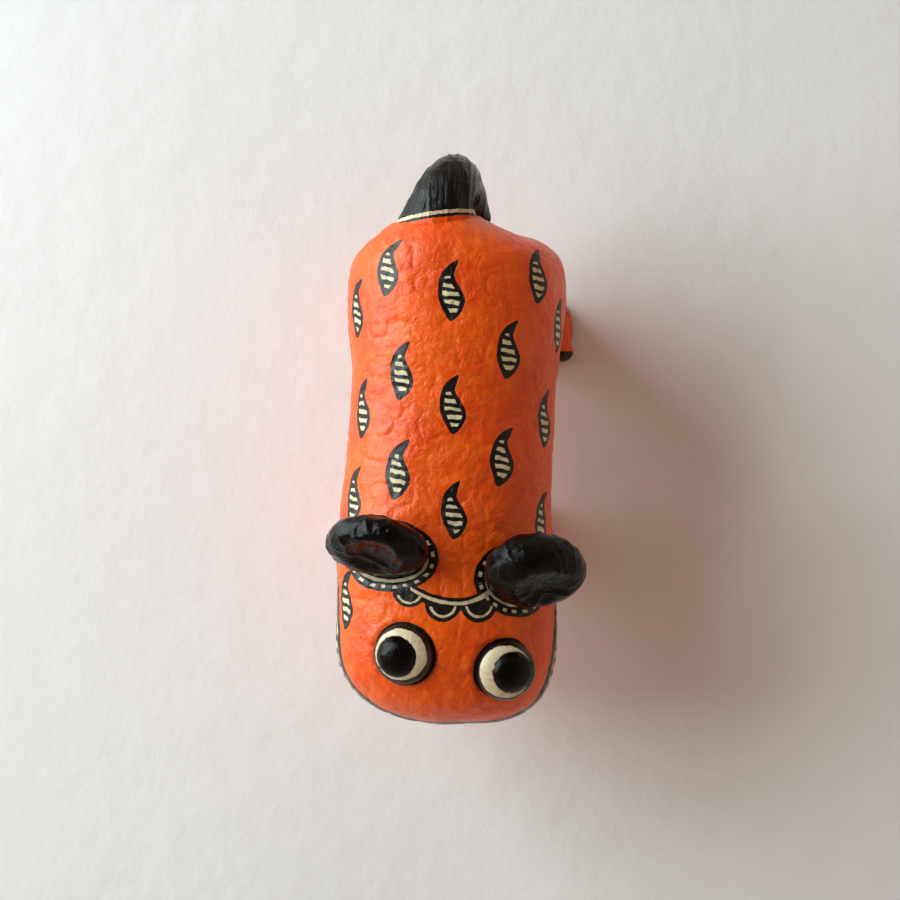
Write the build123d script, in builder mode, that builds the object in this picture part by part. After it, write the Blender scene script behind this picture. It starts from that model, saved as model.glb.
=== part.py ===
from build123d import *
import os
from math import cos, pi, sin

os.makedirs("parts", exist_ok=True)

# Papier-mache alebrije, a four-legged animal, in millimetres.
# +Z is up and the soles stand on Z = 0. The head points to -Y and the tail to +Y.
# +X is the animal's own left. The origin is under the middle of the whole figure.

# Body: a long loaf, blunt at both ends
nose_y = -100.3
rump_y = 75.5
nose_cap = 34.3  # length of the rounded nose end
rump_cap = 17.5  # length of the rounded rump end
nose_power = 2.75  # how square the nose end is in plan
rump_power = 2.5  # how square the rump end is in plan
section_power = 2.35  # how square the cross-section is
seam_z = 58.0  # height of the widest level, where the two halves meet
wall = 3.5  # papier-mache wall
# Each station: place along Y, sideways drift, half width, height above and depth below the seam
stations = (
    (nose_y + nose_cap, -3.9, 39.5, 34.5, 31.0),
    (-38.0, -4.4, 38.7, 35.0, 32.0),
    (-8.0, -3.1, 36.6, 34.0, 31.5),
    (22.0, -1.2, 37.0, 34.8, 31.5),
    (rump_y - rump_cap, -0.4, 38.6, 36.0, 32.0),
)
nose_steps = (0.35, 0.6, 0.78, 0.9, 0.965, 0.995)
rump_steps = (0.4, 0.66, 0.84, 0.94, 0.99)
nose_drift = 5.6  # how far the tip of the nose swings back towards +X

# Seam strip: pasted paper band over the joint of the two halves
strip_width = 10.0
strip_thickness = 0.6

# Legs and paws
front_leg_y = -31.0
hind_leg_y = 47.5
hip_z = 42.0
knee_z = 21.0
ankle_z = 6.0
hip_radius = 11.0
knee_radius = 8.6
ankle_radius = 7.0
paw_half_width = 10.2
paw_half_length = 12.6
paw_height = 11.0
paw_forward = 3.5  # how far the middle of the paw sits in front of its leg
toe_radius = 4.2
toe_z = 3.2
toe_spacing = 5.6
toe_reach = (8.4, 9.8, 8.4)  # how far each toe sits in front of the middle of the paw
# Each leg: name, hip X, paw X, leg Y
legs = (
    ("front_left", 18.7, 26.2, front_leg_y),
    ("front_right", -27.3, -35.2, front_leg_y),
    ("hind_left", 22.6, 35.2, hind_leg_y),
    ("hind_right", -23.4, -30.4, hind_leg_y),
)

# Wire armature
leg_wire_radius = 1.0
leg_wire_bend = 6.0
spine_wire_radius = 1.2
spine_wire_bends = (10.0, 8.0, 5.0)
crossbar_z = 46.0
wire_gap = 0.05
spine_wire_z = crossbar_z + leg_wire_radius + spine_wire_radius + wire_gap
spine_wire_points = (
    (-4.0, -38.0, spine_wire_z),
    (-3.0, 56.0, spine_wire_z),
    (-7.0, 72.5, 73.5),
    (-3.9, 86.8, 77.0),
    (-0.9, 91.2, 69.5),
)
tie_wire_radius = 0.5
tie_ring_radius = 3.3
wire_foot_z = 3.5  # lowest point of a leg wire, inside the paw

# Ears: thick scooped paddles, wide along the base line that follows the crown
ear_half_height = 15.0
ear_z = 97.0
ear_base_slope = 0.478  # how steeply the base line falls outwards
scoop_half_width = 12.0
scoop_half_height = 11.0
scoop_depth = 4.6
scoop_half_thickness = 5.0
# Each ear: name, side, centre X and Y, half width, half thickness, backward lean, forward turn of its outer end
ears = (
    ("left", 1, 26.4, -44.6, 17.2, 8.8, 0.67, 0.16),
    ("right", -1, -27.6, -36.2, 17.8, 7.2, 0.52, 0.0),
)
ear_peg_radius = 1.6
ear_peg_above = 2.0  # how far the peg reaches past the middle of the ear
ear_peg_below = 18.0  # how far it reaches the other way, through the crown
ear_peg_back = 2.0  # how far it sits behind the middle of the ear, clear of the scoop

# Eyes: pulp mounds, each with a domed pupil
eye_radius = 10.3
eye_half_height = 5.2
eye_sink = 1.0  # how far the middle of the mound lies under the surface of the head
pupil_radius = 7.3
pupil_half_height = 4.8
pupil_seat = 1.2  # height of the flat seat of the pupil over the surface of the head
# Each eye: name, centre X, Y and Z, pupil shift along X, sideways lean of the mound
eyes = (
    ("left", 16.7, -78.5, 89.5, 1.2, 0.24),
    ("right", -18.6, -73.0, 91.0, -1.4, -0.2),
)
eye_forward_lean = 0.1

# Tail: flares out of the top of the rump, arches back and hooks down towards +X
tail_points = (
    (-8.0, 65.0, 70.0),
    (-6.2, 78.0, 75.6),
    (-3.8, 87.5, 77.2),
    (-0.6, 92.4, 69.0),
    (3.6, 89.2, 56.0),
    (8.6, 79.6, 44.5),
)
tail_radii = (19.0, 14.6, 11.4, 9.0, 7.6, 6.3, 5.2, 3.8)  # evenly spaced from root to tip


def body_section(y, drift, half_width, rise, depth, inset):
    """One closed cross-section of the body, drawn inset from the outer surface."""
    half_width = half_width - inset
    points = []
    corner_count = 20
    for step in range(corner_count):
        angle = 2 * pi * step / corner_count
        across = abs(cos(angle)) ** (2 / section_power) * (1 if cos(angle) >= 0 else -1)
        up = abs(sin(angle)) ** (2 / section_power) * (1 if sin(angle) >= 0 else -1)
        half_height = (rise if up >= 0 else depth) - inset
        points.append((half_width * across, half_height * up))
    plane = Plane(origin=(drift, y, seam_z), x_dir=(1, 0, 0), z_dir=(0, -1, 0))
    with BuildSketch(plane) as section:
        with BuildLine():
            Spline(*points, periodic=True)
        make_face()
    return section.sketch


def end_scale(step, power):
    """Share of the full section left at a step through a rounded end."""
    return (1 - step**power) ** (1 / power)


def body_sections(inset):
    """All cross-sections of the body from nose to rump, inset from the outer surface."""
    sections = []
    first_y, drift, half_width, rise, depth = stations[0]
    for step in reversed(nose_steps):
        share = end_scale(step, nose_power)
        reach = (nose_cap - inset) * step
        swing = drift + nose_drift * step**3
        size = (half_width - inset) * share, (rise - inset) * share, (depth - inset) * share
        sections.append(body_section(first_y - reach, swing, *size, 0))
    for station in stations:
        sections.append(body_section(*station, inset))
    last_y, drift, half_width, rise, depth = stations[-1]
    for step in rump_steps:
        share = end_scale(step, rump_power)
        reach = (rump_cap - inset) * step
        size = (half_width - inset) * share, (rise - inset) * share, (depth - inset) * share
        sections.append(body_section(last_y + reach, drift, *size, 0))
    return sections


# ---- Forms that the pieces are cut from ----

with BuildPart() as outer_form:
    loft(sections=body_sections(0))

with BuildPart() as strip_bed_form:
    loft(sections=body_sections(strip_thickness))

with BuildPart() as cavity_form:
    loft(sections=body_sections(wall))


def ellipsoid(plane, half_x, half_y, half_z):
    """An ellipsoid in the middle of a plane, with its half sizes along the plane's own axes."""
    with BuildPart() as shape:
        Sphere(1)
        scale(by=(half_x, half_y, half_z))
    return shape.part.moved(plane.location)


def leg_x(hip_x, paw_x, height):
    """Sideways place of a leg's centreline at a height."""
    return hip_x + (paw_x - hip_x) * (hip_z - height) / (hip_z - ankle_z)


def leg_form(hip_x, paw_x, leg_y):
    """Whole tapered leg from inside the body down to the ankle."""
    sections = []
    for height, radius in ((hip_z, hip_radius), (knee_z, knee_radius), (ankle_z, ankle_radius)):
        with BuildSketch(Plane(origin=(leg_x(hip_x, paw_x, height), leg_y, height))) as section:
            Circle(radius)
        sections.append(section.sketch)
    with BuildPart() as form:
        loft(sections=sections)
    return form.part


def paw_form(paw_x, leg_y):
    """Half-dome paw with three toes, flat on the ground."""
    middle = Plane(origin=(paw_x, leg_y - paw_forward, 0))
    with BuildPart() as form:
        add(ellipsoid(middle, paw_half_width, paw_half_length, paw_height))
        for place, reach in enumerate(toe_reach):
            with Locations((paw_x + (place - 1) * toe_spacing, leg_y - paw_forward - reach, toe_z)):
                Sphere(toe_radius)
        split(bisect_by=Plane.XY, keep=Keep.TOP)
    return form.part


def bent_wire(points, bends, radius):
    """Round wire along straight runs joined by tangent bends."""
    with BuildLine() as path:
        FilletPolyline(*points, radius=bends)
    with BuildPart() as wire:
        with BuildSketch(Plane(origin=path.line @ 0, z_dir=path.line % 0)):
            Circle(radius)
        sweep(path=path.line)
    return wire.part


def leg_wire_points(left_leg, right_leg):
    """Route of one wire down one leg, across the body and down the other leg."""
    points = []
    for leg, heights in ((left_leg, (wire_foot_z, crossbar_z)), (right_leg, (crossbar_z, wire_foot_z))):
        _, hip_x, paw_x, leg_y = leg
        points += [(leg_x(hip_x, paw_x, height), leg_y, height) for height in heights]
    return points


def spine_x(y):
    """Sideways place of the straight run of the spine wire."""
    (first_x, first_y, _), (last_x, last_y, _) = spine_wire_points[:2]
    return first_x + (last_x - first_x) * (y - first_y) / (last_y - first_y)


def ear_plane(side, x, y, lean, turn):
    """Plane of an ear: its X runs down along the base line, its Z faces forward and up."""
    facing = (side * (lean * ear_base_slope - turn), -1, lean)
    return Plane(origin=(x, y, ear_z), x_dir=(side, -turn, -ear_base_slope), z_dir=facing)


def ear_peg_form(plane, side):
    """Round peg from inside the ear down through the crown."""
    upward = plane.y_dir * side
    start = plane.origin - plane.z_dir * ear_peg_back + upward * ear_peg_above
    with BuildPart() as peg:
        with BuildSketch(Plane(origin=start, z_dir=-upward)):
            Circle(ear_peg_radius)
        extrude(amount=ear_peg_above + ear_peg_below)
    return peg.part


def eye_plane(x, y, z, lean):
    """Plane that touches the head under an eye, its Z pointing out of the head."""
    return Plane(origin=(x, y, z), x_dir=(1, 0, -lean), z_dir=(lean, -eye_forward_lean, 1))


def pupil_form(plane, shift):
    """Domed pupil with a flat seat."""
    seat = Plane(origin=plane.from_local_coords((shift, 0, pupil_seat)), x_dir=plane.x_dir, z_dir=plane.z_dir)
    with BuildPart() as dome:
        add(ellipsoid(seat, pupil_radius, pupil_radius, pupil_half_height))
        split(bisect_by=seat, keep=Keep.TOP)
    return dome.part


# ---- Wire armature: two leg wires, the spine wire and the ties at their crossings ----

leg_pairs = {"front": (legs[0], legs[1]), "hind": (legs[2], legs[3])}
leg_wires = {}
for place, pair in leg_pairs.items():
    with BuildPart() as leg_wire:
        add(bent_wire(leg_wire_points(*pair), leg_wire_bend, leg_wire_radius))
    leg_wire.part.label = f"{place}_leg_wire"
    export_step(leg_wire.part, f"parts/{place}_leg_wire.step")
    leg_wires[place] = leg_wire.part

with BuildPart() as spine_wire:
    add(bent_wire(spine_wire_points, spine_wire_bends, spine_wire_radius))
spine_wire.part.label = "spine_wire"
export_step(spine_wire.part, "parts/spine_wire.step")

for place, tie_y in (("front", front_leg_y), ("hind", hind_leg_y)):
    tie_centre = (spine_x(tie_y), tie_y, crossbar_z + leg_wire_radius + wire_gap / 2)
    with BuildPart() as tie_wire:
        with Locations(Location(tie_centre, (90, 45, 0))):
            Torus(tie_ring_radius, tie_wire_radius)
    tie_wire.part.label = f"{place}_tie_wire"
    export_step(tie_wire.part, f"parts/{place}_tie_wire.step")

# ---- Body: upper half, lower half and the paper strip over their joint ----

with BuildPart() as seam_strip:
    add(outer_form.part)
    split(bisect_by=Plane.XY.offset(seam_z + strip_width / 2), keep=Keep.BOTTOM)
    split(bisect_by=Plane.XY.offset(seam_z - strip_width / 2), keep=Keep.TOP)
    add(strip_bed_form.part, mode=Mode.SUBTRACT)
seam_strip.part.label = "seam_strip"
export_step(seam_strip.part, "parts/seam_strip.step")

ear_pegs = {}
for name, side, x, y, _, _, lean, turn in ears:
    ear_pegs[name] = ear_peg_form(ear_plane(side, x, y, lean, turn), side)

with BuildPart() as back_shell:
    add(outer_form.part)
    split(bisect_by=Plane.XY.offset(seam_z), keep=Keep.TOP)
    add(cavity_form.part, mode=Mode.SUBTRACT)
    add(seam_strip.part, mode=Mode.SUBTRACT)
    add(spine_wire.part, mode=Mode.SUBTRACT)
    for peg in ear_pegs.values():
        add(peg, mode=Mode.SUBTRACT)
back_shell.part.label = "back_shell"
export_step(back_shell.part, "parts/back_shell.step")

with BuildPart() as belly_shell:
    add(outer_form.part)
    split(bisect_by=Plane.XY.offset(seam_z), keep=Keep.BOTTOM)
    add(cavity_form.part, mode=Mode.SUBTRACT)
    add(seam_strip.part, mode=Mode.SUBTRACT)
    for wire in leg_wires.values():
        add(wire, mode=Mode.SUBTRACT)
belly_shell.part.label = "belly_shell"
export_step(belly_shell.part, "parts/belly_shell.step")

# ---- Legs and paws ----

for name, hip_x, paw_x, leg_y in legs:
    whole_leg = leg_form(hip_x, paw_x, leg_y)
    wire = leg_wires[name.split("_")[0]]
    with BuildPart() as leg:
        add(whole_leg)
        add(outer_form.part, mode=Mode.SUBTRACT)
        add(wire, mode=Mode.SUBTRACT)
    leg.part.label = f"leg_{name}"
    export_step(leg.part, f"parts/leg_{name}.step")
    with BuildPart() as paw:
        add(paw_form(paw_x, leg_y))
        add(whole_leg, mode=Mode.SUBTRACT)
        add(wire, mode=Mode.SUBTRACT)
    paw.part.label = f"paw_{name}"
    export_step(paw.part, f"parts/paw_{name}.step")

# ---- Ears and the pegs that hold them ----

for name, side, x, y, half_width, half_thickness, lean, turn in ears:
    plane = ear_plane(side, x, y, lean, turn)
    scoop_origin = plane.from_local_coords((0, 3 * side, half_thickness - scoop_depth + scoop_half_thickness))
    scoop_plane = Plane(origin=scoop_origin, x_dir=plane.x_dir, z_dir=plane.z_dir)
    with BuildPart() as ear:
        add(ellipsoid(plane, half_width, ear_half_height, half_thickness))
        scoop = ellipsoid(scoop_plane, scoop_half_width, scoop_half_height, scoop_half_thickness)
        add(scoop, mode=Mode.SUBTRACT)
        add(outer_form.part, mode=Mode.SUBTRACT)
        add(ear_pegs[name], mode=Mode.SUBTRACT)
    ear.part.label = f"ear_{name}"
    export_step(ear.part, f"parts/ear_{name}.step")
    with BuildPart() as ear_peg:
        add(ear_pegs[name])
    ear_peg.part.label = f"ear_peg_{name}"
    export_step(ear_peg.part, f"parts/ear_peg_{name}.step")

# ---- Eyes: a mound on the head and a pupil seated in it ----

for name, x, y, z, pupil_shift, lean in eyes:
    plane = eye_plane(x, y, z, lean)
    middle = Plane(origin=plane.from_local_coords((0, 0, -eye_sink)), x_dir=plane.x_dir, z_dir=plane.z_dir)
    dome = pupil_form(plane, pupil_shift)
    with BuildPart() as eye:
        add(ellipsoid(middle, eye_radius, eye_radius, eye_half_height))
        add(outer_form.part, mode=Mode.SUBTRACT)
        add(dome, mode=Mode.SUBTRACT)
    eye.part.label = f"eye_{name}"
    export_step(eye.part, f"parts/eye_{name}.step")
    with BuildPart() as pupil:
        add(dome)
        add(outer_form.part, mode=Mode.SUBTRACT)
    pupil.part.label = f"pupil_{name}"
    export_step(pupil.part, f"parts/pupil_{name}.step")

# ---- Tail ----

with BuildLine() as tail_path:
    Spline(*tail_points)
tail_sections = []
for place, radius in enumerate(tail_radii):
    share = place / (len(tail_radii) - 1)
    with BuildSketch(Plane(origin=tail_path.line @ share, z_dir=tail_path.line % share)) as tail_section:
        Circle(radius)
    tail_sections.append(tail_section.sketch)

with BuildPart() as tail:
    loft(sections=tail_sections)
    add(outer_form.part, mode=Mode.SUBTRACT)
    add(spine_wire.part, mode=Mode.SUBTRACT)
tail.part.label = "tail"
export_step(tail.part, "parts/tail.step")
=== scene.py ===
"""Looks of a painted papier-mache alebrije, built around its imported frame. Metres, +Z up, head to -Y."""

from itertools import product
from math import pi, radians

import bpy
import numpy as np
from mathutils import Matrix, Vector
from mathutils.bvhtree import BVHTree


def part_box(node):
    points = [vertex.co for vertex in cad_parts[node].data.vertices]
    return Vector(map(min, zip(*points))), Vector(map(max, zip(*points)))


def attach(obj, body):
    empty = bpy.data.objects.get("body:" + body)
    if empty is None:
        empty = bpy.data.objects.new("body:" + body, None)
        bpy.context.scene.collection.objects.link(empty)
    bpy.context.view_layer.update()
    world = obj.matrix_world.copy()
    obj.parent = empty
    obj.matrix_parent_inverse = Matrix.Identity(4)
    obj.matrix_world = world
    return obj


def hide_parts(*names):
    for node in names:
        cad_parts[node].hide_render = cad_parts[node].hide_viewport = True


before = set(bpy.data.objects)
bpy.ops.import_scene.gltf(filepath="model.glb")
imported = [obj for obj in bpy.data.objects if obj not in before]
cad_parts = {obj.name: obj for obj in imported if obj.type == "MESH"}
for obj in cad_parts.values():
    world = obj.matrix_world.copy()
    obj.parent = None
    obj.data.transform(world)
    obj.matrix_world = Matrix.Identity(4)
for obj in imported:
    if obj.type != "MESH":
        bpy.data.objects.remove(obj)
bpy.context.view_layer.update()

MM = 0.001
PAINT_SEED = 11

# ---- Camera, floor and light ----

CAMERA_HEIGHT = 0.730  # above the floor, looking straight down
CAMERA_OFF_CENTRE = (-2.6 * MM, -3.0 * MM)
CAMERA_LENS = 75.0


def make_camera():
    """Camera straight above the figure, with the tail at the top of the picture."""
    data = bpy.data.cameras.new("camera")
    data.lens = CAMERA_LENS
    data.sensor_width = 36.0
    camera = bpy.data.objects.new("camera", data)
    camera.location = (*CAMERA_OFF_CENTRE, CAMERA_HEIGHT)
    bpy.context.scene.collection.objects.link(camera)
    bpy.context.scene.camera = camera


def make_area_light(name, place, aim, size, power, colour):
    """Soft square light at a place, aimed at a point."""
    data = bpy.data.lights.new(name, "AREA")
    data.size = size
    data.energy = power
    data.color = colour
    light = bpy.data.objects.new(name, data)
    light.location = place
    light.rotation_euler = (Vector(aim) - Vector(place)).to_track_quat("-Z", "Y").to_euler()
    bpy.context.scene.collection.objects.link(light)


# Each light: place, size, power in watts and colour. The key is the window, the fill a warm wall.
AREA_LIGHTS = {
    "key": ((-1.05, 0.42, 0.50), 1.15, 29.2, (0.84, 0.98, 0.98)),
    "fill": ((1.2, -0.6, 1.0), 1.2, 1.0, (1.0, 0.70, 0.48)),
}
LIGHT_AIM = (0, 0, 0.03)
ROOM_COLOUR = (1.0, 0.73, 0.53, 1)
ROOM_STRENGTH = (0.66, 0.10)  # of the surroundings, level with the floor and straight up


def make_lights():
    """Window on the animal's right, weak fill on its left, and a warm room with a dark ceiling."""
    for name, (place_at, size, power, colour) in AREA_LIGHTS.items():
        make_area_light(name, place_at, LIGHT_AIM, size, power, colour)
    world = bpy.data.worlds.new("surroundings")
    world.use_nodes = True
    tree = world.node_tree
    background = tree.nodes["Background"]
    background.inputs["Color"].default_value = ROOM_COLOUR
    split = tree.nodes.new("ShaderNodeSeparateXYZ")
    height = tree.nodes.new("ShaderNodeMapRange")
    height.inputs["To Min"].default_value, height.inputs["To Max"].default_value = ROOM_STRENGTH
    tree.links.new(tree.nodes.new("ShaderNodeTexCoord").outputs["Generated"], split.inputs[0])
    tree.links.new(split.outputs["Z"], height.inputs["Value"])
    tree.links.new(height.outputs["Result"], background.inputs["Strength"])
    bpy.context.scene.world = world
    bpy.context.scene.view_settings.view_transform = "Standard"


# ---- Noise and mesh helpers ----

LATTICE_SIZE = 64
LATTICE = np.random.default_rng(PAINT_SEED).uniform(-1, 1, (LATTICE_SIZE,) * 3)


def smooth_noise(points, size, shift=0.0):
    """Smooth noise between -1 and 1 at points (n, 3), with bumps about size across."""
    grid = points / size + shift
    low = np.floor(grid).astype(int)
    part = grid - low
    part = part * part * (3 - 2 * part)
    total = np.zeros(len(points))
    for corner in product((0, 1), repeat=3):
        weight = np.prod(np.where(corner, part, 1 - part), axis=1)
        index = tuple((low[:, axis] + corner[axis]) % LATTICE_SIZE for axis in range(3))
        total += weight * LATTICE[index]
    return total


def creases(points, size, shift, sharpness=2.2, power=3):
    """Ridges between 0 and 1 where smooth noise passes through nothing."""
    return np.clip(1 - np.abs(smooth_noise(points, size, shift)) * sharpness, 0, 1) ** power


def paper_lumps(points, strength=1.0):
    """Height of hand-pressed papier-mache over its smooth form, in metres."""
    dents = 0.55 * smooth_noise(points, 26 * MM, 3.1) + 0.34 * smooth_noise(points, 12 * MM, 7.7)
    folds = creases(points, 8 * MM, 12.3)
    short_folds = creases(points, 4.6 * MM, 31.7, 2.4)
    grain = smooth_noise(points, 2.6 * MM, 21.9)
    return strength * MM * (dents + 0.24 * folds + 0.10 * short_folds + 0.10 * grain)


def node_tree_of(*nodes):
    """One search tree over the surfaces of some CAD nodes."""
    verts, faces = [], []
    for node in nodes:
        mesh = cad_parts[node].data
        start = len(verts)
        verts += [vertex.co.copy() for vertex in mesh.vertices]
        faces += [[start + index for index in polygon.vertices] for polygon in mesh.polygons]
    return BVHTree.FromPolygons(verts, faces)


def standing_tree(node, body_tree):
    """Search tree over the faces of a piece that don't rest on the body."""
    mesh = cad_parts[node].data
    verts = [vertex.co.copy() for vertex in mesh.vertices]
    faces = []
    for polygon in mesh.polygons:
        if body_tree.find_nearest(polygon.center, 0.06 * MM)[0] is None:
            faces.append(list(polygon.vertices))
    return BVHTree.FromPolygons(verts, faces)


def nearest_on(tree, points, reach):
    """Distance from each point to a tree's surface, capped at reach, and the way the surface faces there."""
    gap = np.full(len(points), reach)
    facing = np.zeros((len(points), 3))
    for index, point in enumerate(points):
        hit = tree.find_nearest(point, reach)
        if hit[0] is not None:
            gap[index] = hit[3]
            facing[index] = hit[1]
    return gap, facing


def flare(gap, normals, facing, height, fall):
    """How far a surface rises into the corner where another stands on it."""
    corner = np.clip(1 - (normals * facing).sum(axis=1), 0, 1)
    return height * corner * np.exp(-((gap / fall) ** 2))


def near_box(points, node, margin):
    """Which points lie within a margin of a node's box."""
    low, high = (np.array(corner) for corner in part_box(node))
    return np.all((points > low - margin) & (points < high + margin), axis=1)


def link_mesh(name, mesh, material, slot, *nodes):
    """Put a finished mesh in the scene as a piece that stands for some CAD nodes."""
    piece = bpy.data.objects.new(name, mesh)
    bpy.context.scene.collection.objects.link(piece)
    mesh.materials.clear()
    mesh.materials.append(material)
    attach(piece, "root")
    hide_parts(*nodes)
    return piece


def store(mesh, name, values):
    """Keep one vector per vertex as a named attribute that a material can read."""
    layer = mesh.attributes.new(name, "FLOAT_VECTOR", "POINT")
    layer.data.foreach_set("vector", np.ascontiguousarray(values, dtype=np.float32).ravel())


# ---- Body surface: a grid of rays from the body's axis ----

RING_STEP = 0.55 * MM
COLUMNS = 448
BODY_NODES = ("back_shell", "belly_shell", "seam_strip")
NOSE_CAP = 36 * MM
RUMP_CAP = 30 * MM
AXIS_X = -2 * MM
RAY_START = 90 * MM
FACET_PASSES = 20
MOUND_RISE = 4.9 * MM  # swelling of the back at the foot of the tail
MOUND_RUN = 17 * MM
MOUND_WAY = (0.10, 0.90, 0.42)
MOUND_LOW, MOUND_HIGH = 48 * MM, 62 * MM  # heights between which the swelling sets in
MOUND_PASSES = 10
STRIP_RISE = 0.16 * MM

body_low = np.min([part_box(node)[0] for node in BODY_NODES], axis=0)
body_high = np.max([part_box(node)[1] for node in BODY_NODES], axis=0)
strip_low_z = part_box("seam_strip")[0][2]
strip_high_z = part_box("seam_strip")[1][2]
seam_z = (strip_low_z + strip_high_z) / 2
nose_centre_y = body_low[1] + NOSE_CAP
rump_centre_y = body_high[1] - RUMP_CAP


def body_rays():
    """Origin and direction of every ray, as arrays of rings by columns by 3."""
    angle = np.linspace(0, 2 * pi, COLUMNS, endpoint=False)
    nose_turn = np.linspace(0, pi / 2, int(NOSE_CAP * pi / 2 / RING_STEP), endpoint=False)
    rump_turn = np.linspace(pi / 2, 0, int(RUMP_CAP * pi / 2 / RING_STEP))
    middle = np.linspace(nose_centre_y, rump_centre_y, int((rump_centre_y - nose_centre_y) / RING_STEP))
    middle = middle[:-1]
    ends = np.full(len(nose_turn), nose_centre_y), np.full(len(rump_turn), rump_centre_y)
    ring_y = np.concatenate((ends[0], middle, ends[1]))
    lean = np.concatenate((-np.cos(nose_turn), np.zeros(len(middle)), np.cos(rump_turn)))
    reach = np.sqrt(np.clip(1 - lean**2, 0, 1))
    origins = np.zeros((len(ring_y), COLUMNS, 3))
    origins[..., 0] = AXIS_X
    origins[..., 1] = ring_y[:, None]
    origins[..., 2] = seam_z
    turned = (reach[:, None] * np.cos(angle), np.broadcast_to(lean[:, None], (len(lean), COLUMNS)))
    directions = np.stack((*turned, reach[:, None] * np.sin(angle)), axis=2)
    return origins, directions


def blur_rings(values, passes):
    """Smooth a grid that closes round its columns."""
    for _ in range(passes):
        values = (np.roll(values, 1, axis=1) + 2 * values + np.roll(values, -1, axis=1)) / 4
        inner = (values[:-2] + 2 * values[1:-1] + values[2:]) / 4
        values = np.concatenate((values[:1], inner, values[-1:]))
    return values


def cast_body(tree):
    """Smooth outer surface of the three body pieces."""
    origins, directions = body_rays()
    reach = np.zeros(origins.shape[:2])
    for ring, column in np.ndindex(reach.shape):
        way = Vector(directions[ring, column])
        start = Vector(origins[ring, column]) + way * RAY_START
        reach[ring, column] = RAY_START - tree.ray_cast(start, -way)[3]
    reach = blur_rings(reach, FACET_PASSES)
    points = origins + directions * reach[..., None]
    return points + tail_mound(points)


def tail_mound(points):
    """How far the back is drawn out along the tail round the tail's foot, as steps of the grid points."""
    flat = points.reshape(-1, 3)
    close = near_box(flat, "tail", MOUND_RUN)
    step = np.zeros(len(flat))
    gap, _ = nearest_on(node_tree_of("tail"), flat[close], MOUND_RUN)
    height = np.clip((flat[close][:, 2] - MOUND_LOW) / (MOUND_HIGH - MOUND_LOW), 0, 1)
    step[close] = MOUND_RISE * (1 - gap / MOUND_RUN) ** 2 * height**2 * (3 - 2 * height)
    step = blur_rings(step.reshape(points.shape[:2]), MOUND_PASSES)
    return step[..., None] * np.array(MOUND_WAY)


def grid_normals(points):
    """Unit normal at every point of a grid that closes round its columns."""
    round_step = np.roll(points, -1, axis=1) - np.roll(points, 1, axis=1)
    along_step = np.gradient(points, axis=0)
    normals = np.cross(round_step, along_step)
    length = np.linalg.norm(normals, axis=2, keepdims=True)
    normals = normals / np.maximum(length, 1e-12)
    normals[0] = (0, -1, 0)
    normals[-1] = (0, 1, 0)
    return normals


# ---- Painted motifs, drawn as distances in millimetres over the body grid ----

FAR = 50.0

# Outline of a teardrop spot, in mm: across, and along towards the tail
SPOT_OUTLINE = (
    (2.9, 10.6), (-0.9, 8.7), (-3.7, 5.3), (-4.8, 0.1), (-4.5, -3.3), (-3.2, -6.8), (-1.4, -10.1),
    (1.5, -8.8), (3.7, -5.8), (4.3, -2.8), (3.1, 0.7), (1.6, 3.6), (1.3, 5.8), (2.2, 7.8),
)
SPOT_REACH = (8, 14)  # mm across and along within which a spot's distances are worked out
# What the hand varies from spot to spot: turn in degrees, size, and shift of the stripes in mm
SPOT_TURN, SPOT_SIZES, STRIPE_SHIFT = 6, (0.94, 1.04), 0.6
# Each spot: angle round the body from +X over the back, and distance from the rump end in mm.
# A conversion outside this script gave the first five rows, since rounded. The last two were given one
# by one.
SPOTS = (
    (90, 24.5), (89, 63), (88, 99),
    (125, 15.5), (118, 51.5), (120, 85.5),
    (150, 29), (146, 64.5), (149, 94.5), (153, 130.5),
    (59, 44.5), (60, 81),
    (42, 18), (22, 35), (30, 67.5), (30, 103),
    (178, 14), (180, 47), (179, 79), (2, 17), (357, 52), (358, 86),
    (208, 58), (207, 88), (333, 60), (332, 91), (205, 128), (334, 132),
)


def smooth_outline(corners, share=8):
    """Closed curve through given corners."""
    points = np.array(corners)
    steps = np.linspace(0, 1, share, endpoint=False)[:, None]
    curve = []
    for index in range(len(points)):
        before, here, after, next_after = (np.roll(points, 1 - index - k, axis=0)[0] for k in range(4))
        bend = 2 * before - 5 * here + 4 * after - next_after
        swing = 3 * here - before - 3 * after + next_after
        curve.append(0.5 * (2 * here + (after - before) * steps + bend * steps**2 + swing * steps**3))
    return np.concatenate(curve)


def outline_distance(points, outline):
    """Signed distance to a closed outline: negative inside."""
    start = outline[None]
    side = np.roll(outline, -1, axis=0)[None] - start
    offset = points[:, None] - start
    share = np.clip((offset * side).sum(2) / (side**2).sum(2), 0, 1)
    nearest = np.linalg.norm(offset - side * share[..., None], axis=2).min(1)
    end = start + side
    above = (start[..., 1] > points[:, None, 1]) != (end[..., 1] > points[:, None, 1])
    slope = side[..., 0] * offset[..., 1] / np.where(side[..., 1] == 0, 1e-9, side[..., 1])
    within = (above & (offset[..., 0] < slope)).sum(1) % 2 == 1
    return np.where(within, -nearest, nearest)


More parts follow.
